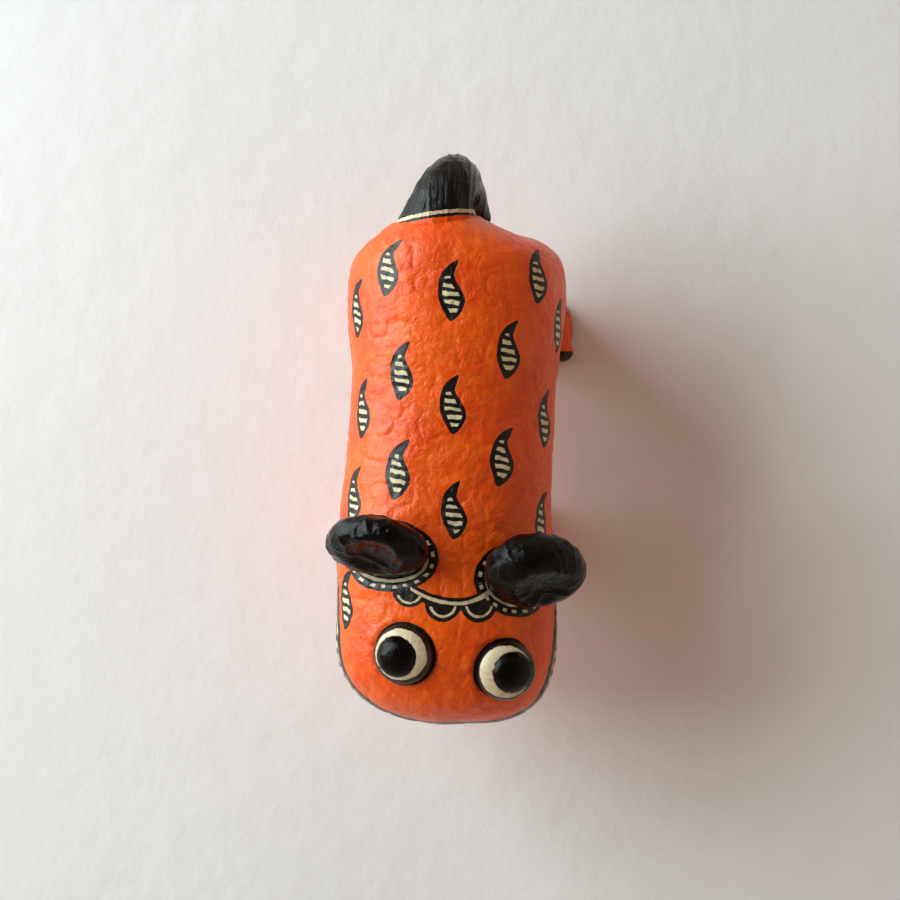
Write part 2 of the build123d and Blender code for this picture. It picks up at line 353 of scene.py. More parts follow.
def spot_field(points):
    """Per grid point: across and along within its nearest spot, and the distance to that spot's outline."""
    rng = np.random.default_rng(PAINT_SEED)
    outline = smooth_outline(SPOT_OUTLINE)
    field = np.full(points.shape, FAR)
    steps = np.linalg.norm(np.diff(points, axis=1, append=points[:, :1]), axis=2)
    round_mm = np.cumsum(steps, axis=1) / MM
    along_mm = np.cumsum(np.linalg.norm(np.diff(points, axis=0, prepend=points[:1]), axis=2), axis=0) / MM
    girth = round_mm[:, -1:]
    for angle, place_back in SPOTS:
        column = int(round(angle / 360 * COLUMNS)) % COLUMNS
        row = int(np.argmin(np.abs(points[:, column, 1] - (body_high[1] - place_back * MM))))
        across = round_mm[:, column : column + 1] - round_mm
        across = (across + girth / 2) % girth - girth / 2
        along = along_mm - along_mm[row][None]
        turn, size = radians(rng.uniform(-SPOT_TURN, SPOT_TURN)), rng.uniform(*SPOT_SIZES)
        local_u = (across * np.cos(turn) - along * np.sin(turn)) / size
        local_v = (across * np.sin(turn) + along * np.cos(turn)) / size
        close = (np.abs(local_u) < SPOT_REACH[0]) & (np.abs(local_v) < SPOT_REACH[1])
        local = np.stack((local_u[close], local_v[close]), axis=1)
        striped = local[:, 1] + rng.uniform(-STRIPE_SHIFT, STRIPE_SHIFT)
        values = np.column_stack((local[:, 0], striped, outline_distance(local, outline)))
        nearer = values[:, 2] < field[close][:, 2]
        spots = field[close]
        spots[nearer] = values[nearer]
        field[close] = spots
    return field


def root_ring(points, normals, node, body_tree, height, fall):
    """Flare of the body round a piece, and, in mm, the gap to that piece and the run round its foot."""
    flat = points.reshape(-1, 3)
    close = near_box(flat, node, RING_REACH)
    gap = np.full(len(flat), FAR)
    run = np.zeros(len(flat))
    lift = np.zeros(len(flat))
    metres, facing = nearest_on(standing_tree(node, body_tree), flat[close], RING_REACH)
    lift[close] = flare(metres, normals.reshape(-1, 3)[close], facing, height, fall)
    gap[close] = metres / MM
    foot = flat[gap < FOOT_GAP]
    centre = (foot.min(0) + foot.max(0)) / 2
    offset = flat[close] - centre
    turn = np.arctan2(offset[:, 1], offset[:, 0])
    edge = (gap[close] > RUN_GAPS[0]) & (gap[close] < RUN_GAPS[1])
    bins = np.linspace(-pi, pi, RING_BINS + 1)
    middle = (bins[:-1] + bins[1:]) / 2
    spread = np.linalg.norm(offset[edge], axis=1)
    place_in = np.digitize(turn[edge], bins) - 1
    known = [k for k in range(RING_BINS) if (place_in == k).any()]
    found = [spread[place_in == k].mean() for k in known]
    radius = np.interp(middle, middle[known], found, period=2 * pi)
    speed = np.hypot(radius, np.gradient(radius, middle))
    length = np.concatenate(([0], np.cumsum(speed * np.diff(bins)))) / MM
    run[close] = np.interp(turn, bins, length)
    shape = points.shape[:2]
    return lift.reshape(shape), gap.reshape(shape), run.reshape(shape)


PIMPLES = 70


def pimples(points):
    """Small beads of pulp left under the paint, as heights in metres."""
    rng = np.random.default_rng(PAINT_SEED + 1)
    height = np.zeros(len(points))
    for index in rng.integers(0, len(points), PIMPLES):
        radius = rng.uniform(0.7, 1.2) * MM
        off = ((points - points[index]) ** 2).sum(axis=1) / radius**2
        height += rng.uniform(0.15, 0.38) * MM * np.exp(-off)
    return height


# Fringe on the forehead, in mm in the row's frame: a band that is lowest at X = 0, with scallops below it
FRINGE_LOW_Y = -55.2
FRINGE_BEND = (0.0195, 0.033)  # how fast the band rises towards the right ear and the left ear
FRINGE_ENDS = (-20.0, 12.5)
FRINGE_DROP, FRINGE_BAND = 0.2, 2.1  # how far the band's middle lies below its cream line, and half its width
FRINGE_LINE = 0.62  # half width of the cream line
LINE_WEDGE, WEDGE_START, WEDGE_LENGTH = 0.07, 4, 8  # how fast the line widens, from which X, over what length
LINE_MARGIN, LINE_START = 1.5, -16.2  # black left past the line's ends, and the least X it has
# Each scallop: X of its middle, Y of its top, half width and depth
SCALLOPS = ((-16.6, -51.6, 5.6, 5.0), (-5.0, -55.4, 6.1, 6.0), (7.3, -55.2, 6.3, 6.6))
SCALLOP_ARC, ARC_HALF_WIDTH = 0.7, 0.42  # cream arc: share of the way out to the rim, and half width
BLACK_TOP, ARC_TOP = 1.0, -0.9  # where the black and the arc of a scallop end, from its top
FRINGE_FLOOR = 10 * MM  # height over the seam below which there is no fringe


def fringe_field(points):
    """Signed distances in mm to the fringe's black and cream paint."""
    x, y = points[..., 0] / MM, points[..., 1] / MM
    band_y = FRINGE_LOW_Y + np.where(x < 0, *FRINGE_BEND) * x**2
    off_band = y - band_y
    outside = np.maximum(FRINGE_ENDS[0] - x, x - FRINGE_ENDS[1])
    black = np.maximum(np.abs(off_band + FRINGE_DROP) - FRINGE_BAND, outside)
    wedge = FRINGE_LINE + LINE_WEDGE * np.clip(x - WEDGE_START, 0, WEDGE_LENGTH)
    cream = np.maximum(np.abs(off_band) - wedge, outside + LINE_MARGIN)
    cream = np.maximum(cream, LINE_START - x)
    for middle_x, top_y, half_width, depth in SCALLOPS:
        round_off = np.hypot((x - middle_x) / half_width, (y - top_y) / depth)
        over_top = y - top_y
        scallop = np.maximum((round_off - 1) * half_width, over_top - BLACK_TOP)
        black = np.minimum(black, scallop)
        off_arc = np.abs(round_off - SCALLOP_ARC) * half_width - ARC_HALF_WIDTH
        arc = np.maximum(off_arc, over_top - ARC_TOP)
        cream = np.minimum(cream, arc)
    on_top = points[..., 2] > seam_z + FRINGE_FLOOR
    return np.where(on_top, black, FAR), np.where(on_top, cream, FAR)


# Painted lip: how far its middle stands over the seam at the nose and at its ends, in mm
LIP_RISE = (12.3, 3.0)
LIP_HALF_HEIGHT = 4.3
LIP_HALF_LENGTH = 97.0
LIP_TAPER = 14.0  # length over which each end narrows
LIP_TIP = 0.0025  # square of the share of its height left at each tip
LIP_CORNER = 2.0  # how much wider than the nose the lip turns


def lip_field(points):
    """Per grid point: height over the middle of the lip, and run along it from the nose, in mm."""
    x, y = points[..., 0] - AXIS_X, points[..., 1] - nose_centre_y
    radius = NOSE_CAP / MM + LIP_CORNER
    turn = np.arctan2(x, -y)
    run = np.where(y < 0, turn * radius, np.sign(x) * (radius * pi / 2 + y / MM))
    share = np.clip(np.abs(run) / LIP_HALF_LENGTH, 0, 1)
    rise = LIP_RISE[0] + (LIP_RISE[1] - LIP_RISE[0]) * share**2
    taper = np.sqrt(np.clip((LIP_HALF_LENGTH - np.abs(run)) / LIP_TAPER, LIP_TIP, 1))
    height = ((points[..., 2] - seam_z) / MM - rise) / taper
    return np.where(np.abs(run) < LIP_HALF_LENGTH, height, FAR), run


# ---- Materials ----


def new_material(name):
    """Empty material and its shader, ready for its nodes."""
    material = bpy.data.materials.new(name)
    material.use_nodes = True
    tree = material.node_tree
    return material, tree, tree.nodes["Principled BSDF"]


def place(tree, kind, inputs=(), **settings):
    """Add a node with its settings and inputs; an input is a constant or another node's socket."""
    node = tree.nodes.new(kind)
    for key, value in settings.items():
        setattr(node, key, value)
    for key, value in dict(inputs).items():
        if isinstance(value, bpy.types.NodeSocket):
            tree.links.new(value, node.inputs[key])
        else:
            node.inputs[key].default_value = value
    return node


def maths(tree, operation, *values, clamp=False):
    """Result of one arithmetic node."""
    node = place(tree, "ShaderNodeMath", enumerate(values), operation=operation, use_clamp=clamp)
    return node.outputs[0]


def blend_colour(tree, factor, first, second):
    """Mix of two colours by a factor."""
    node = place(tree, "ShaderNodeMix", {0: factor, 6: first, 7: second}, data_type="RGBA")
    return node.outputs[2]


def noise_value(tree, scale, detail=2.0, rough=0.5, warp=0.0):
    """Noise between 0 and 1 in object space, scale in bumps per metre."""
    where = place(tree, "ShaderNodeTexCoord").outputs["Object"]
    inputs = {"Vector": where, "Scale": scale, "Detail": detail, "Roughness": rough, "Distortion": warp}
    return place(tree, "ShaderNodeTexNoise", inputs).outputs[0]


def ramp(tree, value, low, high):
    """Smooth step from 0 at low to 1 at high."""
    inputs = {"Value": value, "From Min": low, "From Max": high}
    return place(tree, "ShaderNodeMapRange", inputs, interpolation_type="SMOOTHSTEP").outputs[0]


def inside(tree, distance, soft=0.07):
    """1 where a signed distance is negative, with a short soft edge."""
    return maths(tree, "SUBTRACT", 1.0, ramp(tree, distance, -soft, soft))


def band(tree, value, middle, half_width):
    """1 where a value lies within a half width of a middle."""
    off_middle = maths(tree, "ABSOLUTE", maths(tree, "SUBTRACT", value, middle))
    return inside(tree, maths(tree, "SUBTRACT", off_middle, half_width))


def parts_of(tree, attribute):
    """The three numbers of a vector attribute."""
    source = place(tree, "ShaderNodeAttribute", attribute_name=attribute)
    split = place(tree, "ShaderNodeSeparateXYZ", {0: source.outputs["Vector"]})
    return split.outputs[0], split.outputs[1], split.outputs[2]


def repeated(tree, value, pitch, share):
    """1 over a share of every pitch along a value."""
    phase = maths(tree, "FRACT", maths(tree, "DIVIDE", value, pitch))
    off_middle = maths(tree, "ABSOLUTE", maths(tree, "SUBTRACT", phase, 0.5))
    return maths(tree, "SUBTRACT", 1.0, ramp(tree, off_middle, share / 2 - 0.03, share / 2 + 0.03))


ORANGE = (0.86, 0.100, 0.0015, 1)
ORANGE_DEEP = (0.76, 0.064, 0.0015, 1)
ORANGE_LIGHT = (0.94, 0.175, 0.010, 1)
BLACK = (0.0025, 0.0018, 0.0017, 1)
BLACK_WORN = (0.007, 0.0045, 0.004, 1)
CREAM = (0.70, 0.585, 0.39, 1)
CREAM_WORN = (0.46, 0.355, 0.215, 1)
BROWN = (0.12, 0.035, 0.012, 1)


def orange_colour(tree):
    """Brushed orange paint whose tone varies at random, with brown stains and specks."""
    broad = ramp(tree, noise_value(tree, 45, 3.0, 0.55), 0.34, 0.68)
    strokes = ramp(tree, noise_value(tree, 260, 4.0, 0.6, 0.6), 0.42, 0.72)
    colour = blend_colour(tree, broad, ORANGE_DEEP, ORANGE)
    colour = blend_colour(tree, maths(tree, "MULTIPLY", strokes, 0.45), colour, ORANGE_LIGHT)
    stain = ramp(tree, noise_value(tree, 95, 5.0, 0.7), 0.70, 0.80)
    colour = blend_colour(tree, maths(tree, "MULTIPLY", stain, 0.5), colour, BROWN)
    specks = ramp(tree, noise_value(tree, 900, 2.0, 0.5), 0.745, 0.79)
    return blend_colour(tree, maths(tree, "MULTIPLY", specks, 0.55), colour, BROWN)


def black_colour(tree):
    """Near-black paint with faint brown wear."""
    wear = ramp(tree, noise_value(tree, 420, 5.0, 0.65, 0.4), 0.52, 0.78)
    return blend_colour(tree, wear, BLACK, BLACK_WORN)


def cream_colour(tree):
    """Cream paint, streaky where the black shows through."""
    wear = ramp(tree, noise_value(tree, 520, 5.0, 0.7), 0.46, 0.74)
    return blend_colour(tree, wear, CREAM, CREAM_WORN)


def paper_bump(tree, extra=None, strength=0.8):
    """Wrinkled paper, brush marks and pimples under varnish; extra adds painted relief."""
    wrinkles = noise_value(tree, 240, 6.0, 0.58, 0.9)
    ridges = maths(tree, "ABSOLUTE", maths(tree, "SUBTRACT", noise_value(tree, 150, 3.0, 0.5, 1.2), 0.5))
    pores = noise_value(tree, 1300, 3.0, 0.6)
    height = maths(tree, "MULTIPLY_ADD", wrinkles, 0.55, maths(tree, "MULTIPLY", pores, 0.12))
    height = maths(tree, "SUBTRACT", height, maths(tree, "MULTIPLY", ridges, 0.8))
    where = place(tree, "ShaderNodeTexCoord").outputs["Object"]
    cells = place(tree, "ShaderNodeTexVoronoi", {"Vector": where, "Scale": 120.0, "Randomness": 1.0})
    pimple = maths(tree, "SUBTRACT", 1.0, ramp(tree, cells.outputs["Distance"], 0.0, 0.10))
    height = maths(tree, "MULTIPLY_ADD", pimple, 0.35, height)
    if extra is not None:
        height = maths(tree, "ADD", height, extra)
    bump = place(tree, "ShaderNodeBump", {"Height": height, "Strength": strength, "Distance": 0.0009})
    return bump.outputs[0]


def varnish(shader, base, coat, rough):
    """Gloss of the paint, and brushed varnish over it."""
    shader.inputs["Specular IOR Level"].default_value = base
    shader.inputs["Coat Weight"].default_value = coat
    shader.inputs["Coat Roughness"].default_value = rough


def wobble(tree, distance, amount=0.34):
    """A distance with the unsteadiness of a brush line added."""
    shake = maths(tree, "SUBTRACT", noise_value(tree, 330, 2.0, 0.5), 0.5)
    return maths(tree, "MULTIPLY_ADD", shake, amount * 2, distance)


STRIPE_TILT = 0.16
STRIPE_START = 40.0  # keeps the count of stripes positive over the whole spot
STRIPE_PITCH, STRIPE_SHARE = 2.9, 0.49
SPOT_MARGIN = 1.6  # black left round the stripes, in mm
STRIPED_LENGTH = (-1.5, 6.9)  # middle and half length of the striped part, in mm


def spot_paint(tree):
    """Black and cream masks of the teardrop spots."""
    across, along, edge = parts_of(tree, "spot")
    edge = wobble(tree, edge, 0.3)
    black = inside(tree, edge)
    tilted = maths(tree, "MULTIPLY_ADD", across, STRIPE_TILT, maths(tree, "ADD", along, STRIPE_START))
    stripes = repeated(tree, wobble(tree, tilted, 0.9), STRIPE_PITCH, STRIPE_SHARE)
    inner = inside(tree, maths(tree, "ADD", wobble(tree, edge, 0.3), SPOT_MARGIN))
    ends = band(tree, along, *STRIPED_LENGTH)
    cream = maths(tree, "MULTIPLY", maths(tree, "MULTIPLY", stripes, inner), ends)
    return black, cream


# Bands round the ears and eyes, in mm from the piece: width of the black,
# then middle and half width of each cream part
EAR_BAND, EYE_BAND = 5.5, 1.0
RING_LINE = (1.9, 0.5)
RING_DASHES = (3.85, 0.52)
DASH_PITCH, DASH_SHARE = 3.0, 0.42


def ring_paint(tree):
    """Black and cream masks of the bands round the ears and the outlines of the eyes."""
    gap, run, kind = parts_of(tree, "ring")
    gap = wobble(tree, gap, 0.3)
    is_eye = ramp(tree, kind, 1.4, 1.6)
    width = maths(tree, "MULTIPLY_ADD", is_eye, EYE_BAND - EAR_BAND, EAR_BAND)
    black = inside(tree, maths(tree, "SUBTRACT", gap, width))
    line = band(tree, gap, *RING_LINE)
    dashes = repeated(tree, wobble(tree, run, 0.8), DASH_PITCH, DASH_SHARE)
    dashes = maths(tree, "MULTIPLY", band(tree, gap, *RING_DASHES), dashes)
    cream = maths(tree, "MAXIMUM", line, dashes)
    return black, maths(tree, "MULTIPLY", cream, maths(tree, "SUBTRACT", 1.0, is_eye))


def fringe_paint(tree):
    """Black and cream masks of the scalloped fringe on the forehead."""
    black, cream, _ = parts_of(tree, "fringe")
    return inside(tree, wobble(tree, black, 0.3)), inside(tree, wobble(tree, cream, 0.26))


# On the lip, in mm over its middle: middle and half width of the line and of the row of teeth
LIP_LINE = (-0.3, 0.45)
LIP_TEETH = (-2.5, 1.0)
TOOTH_PITCH, TOOTH_SHARE = 4.2, 0.56


def lip_paint(tree):
    """Black and cream masks of the lip: a band with a cream line and a row of teeth."""
    height, run, _ = parts_of(tree, "lip")
    height = wobble(tree, height, 0.35)
    black = band(tree, height, 0.0, LIP_HALF_HEIGHT)
    teeth = repeated(tree, wobble(tree, run, 0.5), TOOTH_PITCH, TOOTH_SHARE)
    teeth = maths(tree, "MULTIPLY", band(tree, height, *LIP_TEETH), teeth)
    return black, maths(tree, "MAXIMUM", band(tree, height, *LIP_LINE), teeth)


def painted_material(name, motifs, ground):
    """Varnished paint on papier-mache: a ground colour with black and cream motifs over it."""
    material, tree, shader = new_material(name)
    colour = ground(tree)
    black, cream = None, None
    for motif in motifs:
        one_black, one_cream = motif(tree)
        black = one_black if black is None else maths(tree, "MAXIMUM", black, one_black)
        cream = one_cream if cream is None else maths(tree, "MAXIMUM", cream, one_cream)
    relief = None
    if motifs:
        colour = blend_colour(tree, black, colour, black_colour(tree))
        colour = blend_colour(tree, maths(tree, "MULTIPLY", cream, black), colour, cream_colour(tree))
        relief = maths(tree, "MULTIPLY_ADD", black, 0.10, maths(tree, "MULTIPLY", cream, 0.08))
    tree.links.new(colour, shader.inputs["Base Color"])
    gloss = ramp(tree, noise_value(tree, 180, 4.0, 0.6), 0.3, 0.7)
    tree.links.new(maths(tree, "MULTIPLY_ADD", gloss, 0.14, 0.30), shader.inputs["Roughness"])
    tree.links.new(paper_bump(tree, relief, 1.0), shader.inputs["Normal"])
    varnish(shader, 0.36, 0.08, 0.08)
    return material


def black_material(name):
    """Glossy black paint on papier-mache, with a brushed, slightly pitted varnish."""
    material, tree, shader = new_material(name)
    tree.links.new(black_colour(tree), shader.inputs["Base Color"])
    gloss = ramp(tree, noise_value(tree, 210, 4.0, 0.6), 0.3, 0.7)
    tree.links.new(maths(tree, "MULTIPLY_ADD", gloss, 0.13, 0.08), shader.inputs["Roughness"])
    tree.links.new(paper_bump(tree, strength=0.7), shader.inputs["Normal"])
    varnish(shader, 0.13, 0.04, 0.06)
    return material


def wire_material(name, colour, dark):
    """Drawn wire with dull patches and a fine, even bump."""
    material, tree, shader = new_material(name)
    patches = ramp(tree, noise_value(tree, 300, 4.0, 0.65), 0.4, 0.7)
    tree.links.new(blend_colour(tree, patches, colour, dark), shader.inputs["Base Color"])
    tree.links.new(maths(tree, "MULTIPLY_ADD", patches, 0.3, 0.3), shader.inputs["Roughness"])
    inputs = {"Height": noise_value(tree, 2200, 3.0), "Strength": 0.3, "Distance": 0.0002}
    bump = place(tree, "ShaderNodeBump", inputs)
    tree.links.new(bump.outputs[0], shader.inputs["Normal"])
    shader.inputs["Metallic"].default_value = 0.95
    return material


def reed_material(name):
    """Split reed with grain along its length."""
    material, tree, shader = new_material(name)
    where = place(tree, "ShaderNodeTexCoord").outputs["Object"]
    stretched = place(tree, "ShaderNodeMapping", {"Vector": where, "Scale": (1.0, 0.6, 0.15)}).outputs[0]
    inputs = {"Vector": stretched, "Scale": 1800.0, "Detail": 4.0}
    grain = place(tree, "ShaderNodeTexNoise", inputs).outputs[0]
    colour = blend_colour(tree, ramp(tree, grain, 0.35, 0.65), (0.47, 0.27, 0.10, 1), (0.62, 0.42, 0.19, 1))
    tree.links.new(colour, shader.inputs["Base Color"])
    bump = place(tree, "ShaderNodeBump", {"Height": grain, "Strength": 0.4, "Distance": 0.0003})
    tree.links.new(bump.outputs[0], shader.inputs["Normal"])
    shader.inputs["Roughness"].default_value = 0.7
    return material


def floor_material():
    """Pale matt plaster."""
    material, tree, shader = new_material("floor_plaster")
    tone = ramp(tree, noise_value(tree, 6, 4.0, 0.6), 0.3, 0.7)
    colour = blend_colour(tree, tone, (0.85, 0.85, 0.88, 1), (0.88, 0.88, 0.91, 1))
    tree.links.new(colour, shader.inputs["Base Color"])
    inputs = {"Height": noise_value(tree, 60, 5.0, 0.6), "Strength": 0.25, "Distance": 0.002}
    bump = place(tree, "ShaderNodeBump", inputs)
    tree.links.new(bump.outputs[0], shader.inputs["Normal"])
    shader.inputs["Roughness"].default_value = 0.85
    return material


def make_floor():
    """Plain pale floor under the figure."""
    bpy.ops.mesh.primitive_plane_add(size=6.0, location=(0, 0, 0))
    floor = bpy.context.object
    floor.name = "floor"
    floor.data.materials.append(floor_material())


# ---- Body pieces ----

LEG_NAMES = ("front_left", "front_right", "hind_left", "hind_right")
RING_REACH = 10 * MM
RING_BINS = 48
FOOT_GAP = 0.7  # mm within which a point of the body counts as the foot of a piece
RUN_GAPS = (2.0, 3.4)  # mm between which the run round a foot is measured
# Each root on the body: height of its flare and how far it runs out, in mm, and the kind of band round it
ROOTS = {
    "ear_left": (2.6, 2.4, 1),
    "ear_right": (2.6, 2.4, 1),
    "eye_left": (0.9, 1.6, 2),
    "eye_right": (0.9, 1.6, 2),
    "leg_front_left": (2.2, 2.8, 0),
    "leg_front_right": (2.2, 2.8, 0),
    "leg_hind_left": (2.2, 2.8, 0),
    "leg_hind_right": (2.2, 2.8, 0),
}


def band_mesh(name, points, normals, columns, fields):
    """Mesh over some neighbouring columns of the body grid, with the fields as attributes."""
    rings = points.shape[0]
    count = len(columns)
    verts = points[:, columns].reshape(-1, 3)
    index = np.arange(rings * count).reshape(rings, count)
    quads = np.stack((index[:-1, :-1], index[:-1, 1:], index[1:, 1:], index[1:, :-1]), axis=2).reshape(-1, 4)
    mesh = bpy.data.meshes.new(name)
    mesh.from_pydata(verts.tolist(), [], quads.tolist())
    for field_name, field in fields.items():
        store(mesh, field_name, field[:, columns].reshape(-1, 3))
    mesh.shade_smooth()
    mesh.normals_split_custom_set_from_vertices(normals[:, columns].reshape(-1, 3).tolist())
    return mesh


def make_body(body_tree):
    """Back, belly and seam strip with their paper relief and everything painted on them."""
    smooth = cast_body(body_tree)
    shape = smooth.shape
    normals = grid_normals(smooth)
    flat = smooth.reshape(-1, 3)
    lift = (paper_lumps(flat, 1.2) + pimples(flat)).reshape(shape[:2])
    ring = np.full(shape, FAR)
    for node, (height, fall, kind) in ROOTS.items():
        rise, gap, run = root_ring(smooth, normals, node, body_tree, height * MM, fall * MM)
        lift += rise
        nearer = (gap < ring[..., 0]) & (kind > 0)
        ring[nearer] = np.stack((gap, run, np.full(gap.shape, kind)), axis=2)[nearer]
    strip_edge = smooth_noise(smooth.reshape(-1, 3), 9 * MM, 5.0).reshape(shape[:2]) * 0.5 * MM
    off_strip = np.abs(smooth[..., 2] - seam_z) - (strip_high_z - seam_z) + strip_edge
    lift += STRIP_RISE / (1 + np.exp(np.clip(off_strip / (0.25 * MM), -30, 30)))
    points = smooth + normals * lift[..., None]
    height, run = lip_field(smooth)
    black, cream = fringe_field(smooth)
    nothing = np.zeros(shape[:2])
    fields = {
        "spot": spot_field(smooth),
        "ring": ring,
        "fringe": np.stack((black, cream, nothing), axis=2),
        "lip": np.stack((height, run, nothing), axis=2),
    }
    motifs = (spot_paint, ring_paint, fringe_paint, lip_paint)
    material = painted_material("painted_orange", motifs, orange_colour)
    normals = grid_normals(points)
    middle = int(shape[0] / 2)
    off_seam = np.abs(smooth[middle, :, 2] - seam_z)
    strip = [column for column in range(COLUMNS) if off_seam[column] < strip_high_z - seam_z]
    right_side = [column for column in strip if COLUMNS / 4 < column < 3 * COLUMNS / 4]
    right_start, right_end = min(right_side), max(right_side)
    left_end = max(column for column in strip if column < COLUMNS / 4)
    left_start = min(column for column in strip if column > 3 * COLUMNS / 4)
    spans = {
        "back": ("back_shell", range(left_end, right_start + 1)),
        "belly": ("belly_shell", range(right_end, left_start + 1)),
    }
    for piece_name, (node, span) in spans.items():
        mesh = band_mesh(f"{piece_name}_skin", points, normals, list(span), fields)
        link_mesh(f"{piece_name}_skin", mesh, material, "orange_paint", node)
    sides = (
        list(range(right_start, right_end + 1)),
        list(range(left_start, COLUMNS)) + list(range(0, left_end + 1)),
    )
    meshes = [band_mesh("seam_strip_skin", points, normals, columns, fields) for columns in sides]
    joined = join_meshes("seam_strip_skin", meshes)
    link_mesh("seam_strip_skin", joined, material, "orange_paint", "seam_strip")


def join_meshes(name, meshes):
    """One mesh from several that carry the same attributes."""
    objects = [bpy.data.objects.new(name, mesh) for mesh in meshes]
    for piece in objects:
        bpy.context.scene.collection.objects.link(piece)
    with bpy.context.temp_override(active_object=objects[0], selected_editable_objects=objects):
        bpy.ops.object.join()
    mesh = objects[0].data
    bpy.data.objects.remove(objects[0])
    return mesh


# ---- Modelled pieces: CAD forms remade as hand-pressed papier-mache ----

# Each kind of piece: size of the mesh's cells, passes of smoothing, and strength of the pressed lumps
HAND_WORK = {
    "ear": (0.5 * MM, 150, 1.9),
    "tail": (0.55 * MM, 14, 0.7),
    "eye": (0.35 * MM, 8, 0.45),
    "pupil": (0.35 * MM, 8, 0.5),
    "leg": (0.6 * MM, 12, 0.9),
    "paw": (0.5 * MM, 10, 0.7),
}
ROOT_REACH = 1.3 * MM  # how near the body a vertex is when it counts as part of the root
ROOT_SINK = 1.8 * MM
EYE_SINK = 1.2 * MM
BODY_SWELL = (2.0 * MM, 3.5 * MM)  # height and run of a leg's flare at the body
ANKLE_SWELL = (0.9 * MM, 2.6 * MM)  # and where the leg and its paw meet


def remade(node, kind):
    """Fine, even copy of a CAD node's mesh with its edges rounded."""
    voxel, smoothing, _ = HAND_WORK[kind]
    source = bpy.data.objects.new("source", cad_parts[node].data.copy())
    bpy.context.scene.collection.objects.link(source)
    remesh = source.modifiers.new("even", "REMESH")
    remesh.mode = "VOXEL"
    remesh.voxel_size = voxel
    relax = source.modifiers.new("relax", "SMOOTH")
    relax.factor = 0.5
    relax.iterations = smoothing
    evaluated = source.evaluated_get(bpy.context.evaluated_depsgraph_get())
    mesh = bpy.data.meshes.new_from_object(evaluated)
    bpy.data.objects.remove(source)
    mesh.name = f"{node}_skin"
    return mesh


def coords(mesh):
    """Vertex places of a mesh as an array."""
    values = np.empty(len(mesh.vertices) * 3, dtype=np.float32)
    mesh.vertices.foreach_get("co", values)
    return values.reshape(-1, 3).astype(float)


def vertex_normals(mesh):
    """Vertex normals of a mesh as an array."""
    values = np.empty(len(mesh.vertices) * 3, dtype=np.float32)
    mesh.vertex_normals.foreach_get("vector", values)
    return values.reshape(-1, 3).astype(float)


def press(mesh, kind, keep_floor=False):
    """Push a mesh in and out by hand-pressed lumps."""
    points = coords(mesh)
    lift = paper_lumps(points, HAND_WORK[kind][2])
    if keep_floor:
        lift *= np.clip(points[:, 2] / (3 * MM), 0, 1)
    points = points + vertex_normals(mesh) * lift[:, None]
    mesh.vertices.foreach_set("co", points.astype(np.float32).ravel())
    mesh.update()
    mesh.shade_smooth()


def sink_root(mesh, tree, depth):
    """Push the face that rests on the body down into it, so that no gap shows at the root."""
    for vertex in mesh.vertices:
        place_on, normal, _, gap = tree.find_nearest(vertex.co, ROOT_REACH)
        if place_on is not None:
            vertex.co -= normal * depth * (1 - gap / ROOT_REACH)


def swell_towards(mesh, tree, height, fall):
    """Flare a piece out where it meets another."""
    points, normals = coords(mesh), vertex_normals(mesh)
    gap, facing = nearest_on(tree, points, 2.5 * fall)
    points += normals * flare(gap, normals, facing, height, fall)[:, None]
    mesh.vertices.foreach_set("co", points.astype(np.float32).ravel())
    mesh.update()


# Layer of pulp over each ear along X, Y and Z: on the side towards the nose, and on the side towards the tail
EAR_PULP_FRONT = (0.5 * MM, 0.3 * MM, 1.4 * MM)
EAR_PULP_BACK = (0.5 * MM, 2.5 * MM, 1.4 * MM)


def make_ears(body_tree):
    """Ears thickened with pulp, in glossy black."""
    material = black_material("glossy_black")
    for node in ("ear_left", "ear_right"):
        mesh = remade(node, "ear")
        sink_root(mesh, body_tree, ROOT_SINK)
        normals = vertex_normals(mesh)
        points = coords(mesh) + normals * np.where(normals[:, 1:2] > 0, EAR_PULP_BACK, EAR_PULP_FRONT)
        mesh.vertices.foreach_set("co", points.astype(np.float32).ravel())
        mesh.update()
        press(mesh, "ear")
        link_mesh(f"{node}_skin", mesh, material, "black_paint", node)


TAIL_PAINT_START = 2.3  # mm behind the rump where the black begins
TAIL_PAINT_SLOPE, TAIL_PAINT_X = 0.12, -6  # how much later it begins per mm across, counted from this X in mm
TAIL_BLACK_LOW = 3 * MM  # height over the seam below which the tail is black all over
TAIL_LINE = (0.75, 0.62)  # middle and half width of the cream line, in mm past the paint's edge
TAIL_BLACK_START = -0.9
FOLD_SIZE, FOLD_HEIGHT = 3.2 * MM, 0.42 * MM
# Middle of the hook, from the tail's far end and from its lowest point
HOOK_BACK, HOOK_UP = 18.4 * MM, 22.6 * MM
HOOK_RADIUS, HOOK_START = 14, radians(120)  # radius in mm for the way along, and the turn where it starts
STREAK_STRETCH = 0.22  # how much the way along is shortened, so that streaks run lengthwise


def tail_fields(points):
    """Distance past the paint's edge in mm, and coordinates that run along the bent tail in mm."""
    x, y, z = points.T
    low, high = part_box("tail")
    edge = (y - body_high[1]) / MM - TAIL_PAINT_START - TAIL_PAINT_SLOPE * (x / MM - TAIL_PAINT_X)
    edge = np.where(z < seam_z + TAIL_BLACK_LOW, FAR, edge)
    back, up = y - (high[1] - HOOK_BACK), z - (low[2] + HOOK_UP)
    along = np.mod(np.arctan2(up, back) + HOOK_START, 2 * pi) * HOOK_RADIUS * MM
    streak = np.stack((x, np.hypot(back, up), STREAK_STRETCH * along), axis=1)
    return edge, streak


